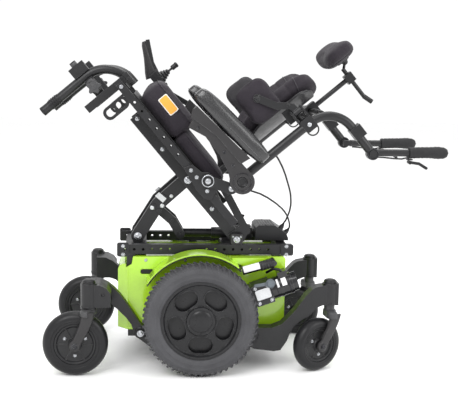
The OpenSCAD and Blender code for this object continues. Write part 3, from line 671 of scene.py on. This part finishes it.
def make_drive_tyre(side):
    sign = SIDES[side]
    centre = (0, sign * WHEEL_Y, WHEEL_Z)
    flank = [(109, 21), (113, 25), (120, 27.5), (122, 28.4), (124, 27.6), (133, 28.2), (135, 29), (137, 28),
             (145, 25.5), (150, 21), (153.5, 12), (154.5, 0)]
    profile = flank + [(r, -y) for r, y in reversed(flank[:-1])]

    def draw(shape):
        lathe(shape, centre, profile, 96, closed=True)
        count = 58
        for i in range(count * 2):
            angle = math.pi * i / count
            half = 1 if i % 2 else -1
            turn = Matrix.Translation(centre) @ Matrix.Rotation(-angle, 4, "Y")
            for low, high, y0, y1, wide in ((152, 158.6, 1.5, 15, 5.8), (140, 156, 16.5, 26, 4.6)):
                corners = block(shape, (low, high), (min(half * y0, half * y1), max(half * y0, half * y1)),
                                (-wide / 2, wide / 2))
                for vertex in corners:
                    if vertex.co.x > high - 1 and abs(vertex.co.y) > 20:
                        vertex.co.x -= 7
                    vertex.co.z += 3.0 * (abs(vertex.co.y) - 8) / 10 * half
                bmesh.ops.transform(shape, matrix=turn, verts=corners)

    piece("drive_tread_" + side, draw, BASE, "drive_wheel_" + side, TYRE, "drive_tyre", bevel=0.5,
          smooth_angle=30, replaces=("drive_tyre_" + side,))


def make_rim_cap(side):
    sign = SIDES[side]
    out = sign * (WHEEL_Y + 23)

    def draw(shape):
        dome = [(0.01, 6), (14, 5.6), (24, 4), (30, 1.5), (31, 0), (31, -2)]
        lathe(shape, (0, out, WHEEL_Z), [(r, sign * y) for r, y in dome], 48)
        ring(shape, (0, sign * (WHEEL_Y + 17), WHEEL_Z), 43, 1.2)
        for i in range(5):
            angle = math.radians(72 * i + 54)
            at = (34.5 * math.cos(angle), out - sign, WHEEL_Z + 34.5 * math.sin(angle))
            bolt(shape, at, (0, sign, 0), 2.4, 2.5, 12)

    piece("hub_cap_" + side, draw, BASE, "drive_wheel_" + side, RIM, "rim_plastic")

    def lips(shape):
        # Rolled edge round each window, and the dark well behind them
        for i in range(5):
            place = Matrix.Translation((0, sign * (WHEEL_Y + 16.2), WHEEL_Z))
            turn = place @ Matrix.Rotation(math.radians(90 - 72 * i), 4, "Y")
            outline = arc(68, 11, 23.5, 0, 180, 14) + arc(68, -11, 23.5, 180, 360, 14)
            outline.append(outline[0])
            corners = tube(shape, [(x, 0, z) for x, z in outline], 1.5, 8)
            bmesh.ops.transform(shape, matrix=turn, verts=corners)
        well = [(99, 0), (99, -sign * 2), (37, -sign * 2), (37, 0)]
        lathe(shape, (0, sign * WHEEL_Y, WHEEL_Z), well, 64, closed=True)
        ring(shape, (0, sign * (WHEEL_Y + 16), WHEEL_Z), 99.5, 1.6, 72)

    piece("rim_lips_" + side, lips, BASE, "drive_wheel_" + side, RIM, "rim_plastic")


def make_caster(end, side):
    joint = JOINTS["%s_wheel_%s_spin" % (end, side)]
    axis = Vector(joint["axis"])
    place = axes(Vector(joint["pos_m"]), axis.cross(Vector((0, 0, 1))).normalized(), Vector((0, 0, 1)))
    if place.to_3x3().col[1].dot(axis) < 0:
        place = place @ Matrix.Rotation(math.pi, 4, "Z")
    radius, width = (89, 45) if end == "front" else (75, 40)
    half = width / 2
    seat_r = radius * 0.62
    body = "%s_wheel_%s" % (end, side)
    bolt_r = radius * 0.36
    bolt_angles = [math.radians(120 * i + 30) for i in range(3)]

    def tyre(shape):
        bead = [(seat_r, half - 6), (seat_r + 2, half - 2.5), (radius * 0.72, half - 0.6)]
        shoulder = [(radius - half * 0.8 + math.sin(a) * half * 0.8, math.cos(a) * (half - 0.4))
                    for a in (math.radians(d) for d in (0, 15, 30, 45, 60, 72, 83))]
        flank = bead + shoulder + [(radius, 2)]
        lathe(shape, (0, 0, 0), flank + [(r, -y) for r, y in reversed(flank)], 72, closed=True)
        for sign in (-1, 1):
            ring(shape, (0, sign * (half - 0.4), 0), radius * 0.74, 0.8, 56)

    def hub(shape):
        face = half - 4
        dish = [(6.4, face), (17, face), (20, face - 5), (seat_r - 8, face - 6), (seat_r - 4, face - 1),
                (seat_r + 0.5, face)]
        profile = [(r, -y) for r, y in dish] + dish[::-1]
        lathe(shape, (0, 0, 0), profile, 64, closed=True)
        for sign in (-1, 1):
            for angle in bolt_angles:
                at = (bolt_r * math.cos(angle), sign * (face - 6), bolt_r * math.sin(angle))
                lathe(shape, at, [(0.01, sign * 2), (5, sign * 2), (6.5, 0), (6.5, -sign)], 20)
            depth = sorted((sign * (face - 7), sign * (face - 3.5)))
            for i in range(6):
                spoke = block(shape, (18, seat_r - 5), depth, (-1.6, 1.6))
                turn = Matrix.Rotation(math.radians(60 * i), 4, "Y")
                bmesh.ops.transform(shape, matrix=turn, verts=spoke)

    def bolts(shape):
        for sign in (-1, 1):
            for angle in bolt_angles:
                at = (bolt_r * math.cos(angle), sign * (half - 8.2), bolt_r * math.sin(angle))
                bolt(shape, at, (0, sign, 0), 3.4, 3)

    piece("%s_caster_tyre_%s" % (end, side), tyre, place, body, CASTER, "caster_rubber",
          replaces=("%s_caster_%s" % (end, side),))
    piece("%s_caster_hub_%s" % (end, side), hub, place, body, HUB, "rim_plastic", bevel=0.6)
    piece("%s_caster_bolts_%s" % (end, side), bolts, place, body, STEEL, "gear_metal")


def make_fork(end, side):
    """Single-sided fork: a broad crown under the stem that sweeps down one side to the wheel's axle."""
    swivel = pivot("%s_swivel_%s_turn" % (end, side))
    wheel = pivot("%s_wheel_%s_spin" % (end, side))
    trail_way = Vector((wheel.x - swivel.x, wheel.y - swivel.y, 0))
    trail = trail_way.length / MM
    place = axes(Vector((swivel.x, swivel.y, 0)), -trail_way.normalized(), Vector((0, 0, 1))) @ mirrored(side)
    wheel_r = wheel.z / MM
    crown, housing = (178, 186) if end == "front" else (158, 186)
    width = 45 if end == "front" else 40
    out = width / 2 + 5

    def leg(shape):
        rings = []
        steps = 14
        for i in range(steps + 1):
            t = i / steps
            z = crown + 4 - (crown + 4 - wheel_r) * t
            x = -trail * (t ** 1.5)
            wide = 18.5 - 3.5 * t
            thick = 7.6 + 3 * (1 - t) ** 2
            inner = -out
            rings.append([(x - wide, inner, z), (x + wide, inner, z), (x + wide * 0.82, inner - thick, z),
                          (x, inner - thick * 1.12, z), (x - wide * 0.82, inner - thick, z)])
        skin(shape, rings)
        lathe(shape, (-trail, -out - 4, wheel_r), [(0.01, -4.4), (13, -4), (15.4, -1), (15.4, 4)], 40)
        tube(shape, [(-trail, -out, wheel_r), (-trail, width / 2 - 6, wheel_r)], 6, 20)

    def top(shape):
        outline = arc(0, 0, 20, -60, 120, 12) + arc(-3, -out + 2, 20, 150, 270, 10)
        lift = 12 if end == "front" else 16
        skin(shape, [[(x, y, z) for x, y in [(p[0] * k, p[1] * k) for p in outline]]
                     for z, k in ((crown - 8, 0.94), (crown - 4, 1.0), (crown + lift - 7, 0.98),
                                  (crown + lift - 3, 0.85))])
        tube(shape, [(0, 0, crown + 2), (0, 0, housing - 1)], 15, 32)
        tube(shape, [(0, 0, crown), (0, 0, housing + 46)], 8, 24)

    def axle_bolt(shape):
        bolt(shape, (-trail, -out - 8.4, wheel_r), (0, -1, 0), 6.5, 4)
        bolt(shape, (-trail, width / 2 - 5.5, wheel_r), (0, 1, 0), 6.5, 4)

    body = "%s_swivel_%s" % (end, side)
    piece("%s_fork_leg_%s" % (end, side), leg, place, body, CHARCOAL, "fork_plastic", bevel=2,
          replaces=("%s_fork_%s" % (end, side),))
    piece("%s_fork_crown_%s" % (end, side), top, place, body, CROWN, "fork_plastic", bevel=2)
    piece("%s_fork_bolt_%s" % (end, side), axle_bolt, place, body, DARK_STEEL, "frame_black")


for side in SIDES:
    make_drive_tyre(side)
    make_rim_cap(side)
    for end in ("front", "rear"):
        make_caster(end, side)
        make_fork(end, side)


# ---- Base details ----

def for_both(name, draw, frame_matrix, body, material, slot, **options):
    """The same drawing on the left and mirrored on the right; body may hold %s for the side."""
    for side in SIDES:
        piece("%s_%s" % (name, side), draw, frame_matrix @ mirrored(side), body.replace("%s", side), material,
              slot, **options)


def base_bolts(shape):
    for x, z, y, r in ((-164, 102, -172, 7), (140, 100, -200, 8), (-100, 156, -118, 4), (100, 156, -118, 4)):
        bolt(shape, (x, y, z), (0, -1, 0), r, 5)
    for x in (-226, 236):
        for z in (318, 342):
            bolt(shape, (x + 12, -119, z - 2), (0, -1, 0), 4, 3)
    for x in (-150, -40, 90, 180):
        bolt(shape, (x, -128, 302), (0, -1, 0), 3.5, 2)


for_both("base_bolts", base_bolts, BASE, "chassis", STEEL, "gear_metal")


# Painted shade: the slot's shaded inside is drawn as a dark block on the shroud, not cut as a hollow.
def shroud_recess_shade(shape):
    prism(shape, round_rect(-164, -129, 263, 275, 5.5), -127.5, -122)


for_both("shroud_recess_shade", shroud_recess_shade, BASE, "chassis", BATTERY, "battery", bevel=1)


MOTOR_Y = -166
MOTOR_SLOPE = math.radians(19)
MOTOR_WAY = Vector((math.cos(MOTOR_SLOPE), 0, math.sin(MOTOR_SLOPE)))
MOTOR_UP = Vector((-MOTOR_WAY.z, 0, MOTOR_WAY.x))


def on_motor(along, up=0, y=MOTOR_Y):
    """A place along the motor's sloping axis and above it."""
    return Vector((0, y, WHEEL_Z)) + MOTOR_WAY * along + MOTOR_UP * up


def motor_details(shape):
    for start, length, r in ((226, 3, 30.8), (262, 4, 31), (208, 5, 32)):
        tube(shape, [on_motor(start), on_motor(start + length)], r, 40)
    lead = ((254, 38, -10), (250, 48, -10), (236, 54, -4), (214, 46, 12))
    tube(shape, [on_motor(along, up, MOTOR_Y + y) for along, up, y in lead], 4, 10)


for_both("motor_bands", motor_details, BASE, "chassis", DARK_STEEL, "motor_black", bevel=0.5)


def motor_label(shape):
    r = 30.6
    angles = [math.radians(degrees) for degrees in range(10, 62, 6)]
    rings = [[on_motor(along, r * math.sin(a), MOTOR_Y - r * math.cos(a)) for a in angles]
             for along in (230, 258)]
    skin(shape, rings, close_ends=False, ring_closed=False)


for_both("motor_label", motor_label, BASE, "chassis", WHITE, "damper_metal")


def gear_plate(shape):
    outline = round_rect(165, 207, -13, 16, 4)
    skin(shape, [[on_motor(along, up, y) for along, up in outline] for y in (-196.4, -197.6)])


for_both("gear_plate", gear_plate, BASE, "chassis", SILVER, "gear_metal")


DAMPER_START = Vector((118, -165, 279))
DAMPER_WAY = Vector((88, 0, 24)).normalized()
DAMPER_UP = Vector((-DAMPER_WAY.z, 0, DAMPER_WAY.x))


def damper_label(shape):
    r = 12.5
    angles = [math.radians(degrees) for degrees in range(-20, 81, 10)]
    rings = [[DAMPER_START + DAMPER_WAY * along + DAMPER_UP * r * math.sin(a)
              - Vector((0, r * math.cos(a), 0)) for a in angles] for along in (4, 52)]
    skin(shape, rings, close_ends=False, ring_closed=False)


for_both("damper_label", damper_label, BASE, "chassis", WHITE, "damper_metal")


def damper_boot(shape):
    tube(shape, [DAMPER_START + DAMPER_WAY * along for along in (50, 52, 88, 94)], [12.2, 13, 13, 9], 32)
    for start in range(56, 88, 8):
        tube(shape, [DAMPER_START + DAMPER_WAY * along for along in (start, start + 3)], 14, 32)


for_both("damper_boot", damper_boot, BASE, "chassis", MODULE, "module_plastic", bevel=0.5)


def gear_details(shape):
    for along, up in ((168, 22), (204, 22), (168, -22), (204, -22)):
        bolt(shape, on_motor(along, up, -196), (0, -1, 0), 4, 3)


for_both("gear_bolts", gear_details, BASE, "chassis", STEEL, "gear_metal")


def knob_ribs(shape):
    lathe(shape, (193, -212, 253), [(0.01, -3), (8, -3), (10, -1), (10, 2)], 32)
    ring(shape, (193, -206, 253), 12.2, 1)


for_both("freewheel_knob", knob_ribs, BASE, "freewheel_%s", KNOB, "lever_plastic")


def front_arm_trim(shape):
    lathe(shape, (-164, -160, 102), [(0.01, -4), (14, -4), (17, -1.5), (17, 1)], 40)
    tube(shape, [(-303, -210, 261), (-303, -210, 264), (-303, -210, 267)], [17, 16, 11], 32)
    tube(shape, [(-303, -210, 190), (-303, -210, 194)], 23, 36)
    bolt(shape, (-264, -226, 226), (0, -1, 0), 4, 3)


for_both("front_arm_trim", front_arm_trim, BASE, "front_suspension_%s", RIM, "rim_plastic", bevel=0.5)


def rear_arm_trim(shape):
    tube(shape, [(367, -170, 253), (367, -170, 256), (367, -170, 258)], [17, 15, 9], 32)
    tube(shape, [(367, -170, 188), (367, -170, 193)], 23, 36)
    lathe(shape, (140, -189, 100), [(0.01, -4), (22, -4), (25, -1.5), (25, 1)], 40)


for_both("rear_arm_trim", rear_arm_trim, BASE, "rear_suspension_%s", RIM, "rim_plastic", bevel=0.5)


def module_details(shape):
    for x in range(178, 220, 8):
        block(shape, (x, x + 3), (-46, 46), (388, 390.5))
    block(shape, (164.5, 167), (-48, 48), (352, 376))
    for y in (-50, 50):
        bolt(shape, (196, y, 388), (0, 0, 1), 3, 2)


piece("module_ribs", module_details, BASE, "chassis", MODULE, "module_plastic", bevel=0.5)


def cable_plugs(shape):
    for tail, tip in ((LEVER_ROUTE[-3:], 7), (RECLINE_ROUTE[-3:], 7)):
        points = [Vector(p) for p in reversed(tail)]
        tube(shape, [points[0] + (points[0] - points[1]) * 0.5, points[0], points[1],
                     points[1] + (points[2] - points[1]) * 0.4], [tip, tip, 4.4, 3.2], 20)


piece("cable_plugs", cable_plugs, BASE, "chassis", CABLE, "cable_rubber")


# ---- Linkage and seat details ----

def arm_bolts(shape):
    for joint, y in (("tilt", -62), ("seat_turn", -95.2)):
        bolt(shape, ((pivot(joint).x - AXLE.x) / MM, y, pivot(joint).z / MM), (0, -1, 0), 8, 4)


for_both("arm_bolts", arm_bolts, BASE, "lifting_arms", STEEL, "gear_metal")


def slider_trim(shape):
    x, z = (pivot("slider_left_turn").x - AXLE.x) / MM, pivot("slider_left_turn").z / MM
    bolt(shape, (x, -114, z), (0, -1, 0), 7, 4)
    for dx in (-11, 11):
        bolt(shape, (x + dx, -114, z + 8), (0, -1, 0), 2.4, 2)


for_both("slider_bolts", slider_trim, BASE, "slider_%s", STEEL, "gear_metal")


def seat_bolts(shape):
    for x, z in ((-247, 29), (-223, 29), (-176, 27)):
        bolt(shape, (x, -215, z), (0, -1, 0), 4, 3)
    for x in (-440, -330, -110):
        bolt(shape, (x, -90, 0), (0, -1, 0), 4.5, 3)
    bolt(shape, (-535, -206, 27), (0, -1, 0), 4, 3)


for_both("seat_bolts", seat_bolts, SEAT, "seat", STEEL, "gear_metal")


def recline_ring(shape):
    at = in_seat("recline")
    ring(shape, (at.x, -217.5, at.z), 15.5, 1.8)
    bolt(shape, (at.x, -222, at.z), (0, -1, 0), 6, 3)
    bolt(shape, (-139, -217, 82), (0, -1, 0), 6, 4)
    bolt(shape, (-139, -207.5, 354), (0, -1, 0), 4.5, 3)


for_both("back_rings", recline_ring, SEAT, "back", STEEL, "gear_metal")


def handle_rings(shape):
    at = in_seat("handle_left_turn")
    ring(shape, (at.x, -201, at.z), 14, 1.6)


for_both("handle_rings", handle_rings, SEAT, "back", DARK_STEEL, "frame_black")


def arm_link_trim(shape):
    at = in_seat("armrest_left_flip")
    ring(shape, (at.x, -246.5, at.z), 24, 1.2)
    ring(shape, (at.x, -241.5, at.z), 12, 1.0)
    for x, z in ((-326, 116), (-232, 129), (-190, 124)):
        bolt(shape, (x, -246, z), (0, -1, 0), 3.6, 2.5)


for_both("arm_link_trim", arm_link_trim, SEAT, "armrest_%s", DARK_STEEL, "frame_black")


def hanger_trim(shape):
    def along_tube(heights, radius):
        tube(shape, [(-616, -140, z) for z in heights], radius, 28)

    along_tube((-176, -182, -183.8), [13, 12.8, 9])
    for z in (-150, -144, -138, -132):
        along_tube((z, z + 3), 15)
    along_tube((-156, -122), 13.6)


for_both("hanger_bumper", hanger_trim, SEAT, "hanger_%s", CASTER, "caster_rubber", bevel=0.4)


def latch_knob(shape):
    tube(shape, [(-668, -140, -36), (-664, -140, -36), (-655, -140, -36)], [7, 9.5, 9.5], 28)
    tube(shape, [(-591, -152, -31), (-598, -148.5, -31), (-601, -147, -31)], [13.5, 12.5, 9], 28)


for_both("latch_knob", latch_knob, SEAT, "hanger_%s", CROWN, "fork_plastic", bevel=0.6)


def star_knob(shape):
    centre = Vector((-580, -161, -31))
    outline = []
    for k in range(50):
        a = 2 * math.pi * k / 50
        reach = 17 + 3.5 * math.cos(5 * a)
        outline.append((centre.x + reach * math.cos(a), centre.z + reach * math.sin(a)))
    prism(shape, outline, centre.y - 14, centre.y - 5)
    tube(shape, [(centre.x, centre.y - 15, centre.z), (centre.x, centre.y + 8, centre.z)], 8, 24)


for_both("hanger_star_knob", star_knob, SEAT, "hanger_%s", CROWN, "fork_plastic", bevel=1.5)


def link_plates(shape):
    origin = Vector(((pivot("tilt").x - AXLE.x) / MM, 0, pivot("tilt").z / MM))
    along = Vector((SEAT_BACK.x, 0, -SEAT_BACK.z))
    up = Vector((-along.z, 0, along.x))
    for x, z, r in ((90, 22, 5), (112, 4, 4.5), (150, 2, 4)):
        at = origin + along * x + up * z
        bolt(shape, (at.x, -62, at.z), (0, -1, 0), r, 3)
    corner = [origin + along * x + up * z for x, z in ((120, 8), (136, 8), (136, 36), (120, 38))]
    prism(shape, [(p.x, p.z) for p in corner], -63.5, -60)


for_both("link_bracket", link_plates, BASE, "lifting_arms", SILVER, "gear_metal", bevel=0.5)


# ---- Joystick ----

def joystick_screen(shape):
    way = Vector((-94, 0, 50)).normalized()
    up = Vector((-way.z, 0, way.x)) * -1
    start = Vector((-512, 229, 127))
    points = [start, start + way * 66]
    skin(shape, [[p + up * 1.5 + Vector((0, y, 0)) for y in (-9, 9)] for p in points],
         close_ends=False, ring_closed=False)


def joystick_keys(shape):
    for i in range(3):
        bolt(shape, (-500 + 22 * i, 212, 124), (0, 0, 1), 4, 2.5, 16)


def on_stick(*heights):
    at = in_seat("joystick_push")
    return [(at.x, at.y, z) for z in heights]


def joystick_knob(shape):
    tube(shape, on_stick(166, 169, 178, 186, 189.5), [5, 8.4, 7.2, 9.4, 6], 28)


def joystick_horn(shape):
    """Hollow-backed display housing that rises to a rounded tip."""
    spine = [((-497, 104), 24), ((-515, 112), 22), ((-535, 121), 17), ((-556, 131), 13), ((-575, 140), 11),
             ((-590, 147), 9.5), ((-600, 152), 6)]
    angles = [2 * math.pi * k / 20 for k in range(20)]
    skin(shape, [[(x + wide * 0.324 * math.cos(a), 229 + 13 * math.sin(a), z + wide * 0.9 * math.cos(a))
                  for a in angles] for (x, z), wide in spine])


def joystick_boot(shape):
    for i in range(4):
        lift = 124 + 8 * i
        wide = 20 - 3.4 * i
        tube(shape, on_stick(lift, lift + 2, lift + 4, lift + 8), [wide - 4, wide, wide - 0.5, wide - 5], 28)


piece("joystick_horn", joystick_horn, SEAT, "armrest_right", CHARCOAL, "module_plastic")
piece("joystick_boot", joystick_boot, SEAT, "armrest_right", LEVER, "module_plastic")
piece("joystick_keys", joystick_keys, SEAT, "armrest_right", LEVER, "module_plastic", bevel=0.3)
piece("joystick_knob", joystick_knob, SEAT, "joystick", LEVER, "module_plastic")
piece("joystick_display", joystick_screen, SEAT, "armrest_right", SCREEN, "module_plastic")


# ---- Push handles ----

def grip(shape):
    start, end = 112, 210
    path = []
    radii = []
    for i in range(25):
        t = i / 24
        path.append((start + (end + 14 - start) * t, 32, 1.5 * math.sin(math.pi * t)))
        swell = 1.6 * math.exp(-((t - 0.72) / 0.12) ** 2)
        end_round = math.sqrt(max(0.0, 1 - max(0.0, (t - 0.86) / 0.14) ** 2))
        radii.append(max(1.5, (15.5 + swell + 0.35 * math.sin(t * 60)) * end_round))
    tube(shape, path, radii, 32)


def lever_parts(shape):
    tube(shape, [(104, 32, -14), (92, 32, -17), (70, 31, -16), (40, 30, -13), (22, 26, -12)], 2.2, 8)
    bolt(shape, (114, 22, -26), (0, -1, 0), 4, 3)


for side in SIDES:
    place = handle_frame(side) @ mirrored(side)
    piece("foam_grip_" + side, grip, place, "handle_" + side, FOAM, "grip_foam",
          replaces=("handle_grip_" + side,))
    piece("hand_brake_line_" + side, lever_parts, place, "handle_" + side, CABLE, "cable_rubber")


# ---- Floor and light ----

def make_stage():
    shape = bmesh.new()
    bmesh.ops.create_grid(shape, x_segments=1, y_segments=1, size=12)
    mesh = bpy.data.meshes.new("floor")
    shape.to_mesh(mesh)
    shape.free()
    floor = bpy.data.objects.new("floor", mesh)
    floor.location.z = -0.0005
    floor.data.materials.append(FLOOR)
    bpy.context.collection.objects.link(floor)
    world = bpy.data.worlds.new("studio")
    bpy.context.scene.world = world
    world.use_nodes = True
    world.node_tree.nodes["Background"].inputs["Color"].default_value = (1, 1, 1, 1)
    world.node_tree.nodes["Background"].inputs["Strength"].default_value = 1.03
    bpy.context.scene.view_settings.view_transform = "Standard"
    for name, at, size, power in (("key", (-1.4, -2.4, 2.6), 1.8, 70), ("side", (2.2, -1.6, 1.6), 1.5, 34),
                                  ("top", (0.2, 0.6, 3.0), 2.0, 50)):
        light = bpy.data.lights.new(name, "AREA")
        light.size = size
        light.energy = power
        lamp = bpy.data.objects.new(name, light)
        bpy.context.collection.objects.link(lamp)
        lamp.location = at
        lamp.rotation_euler = (Vector((0, 0, 0.45)) - Vector(at)).to_track_quat("-Z", "Y").to_euler()


make_stage()
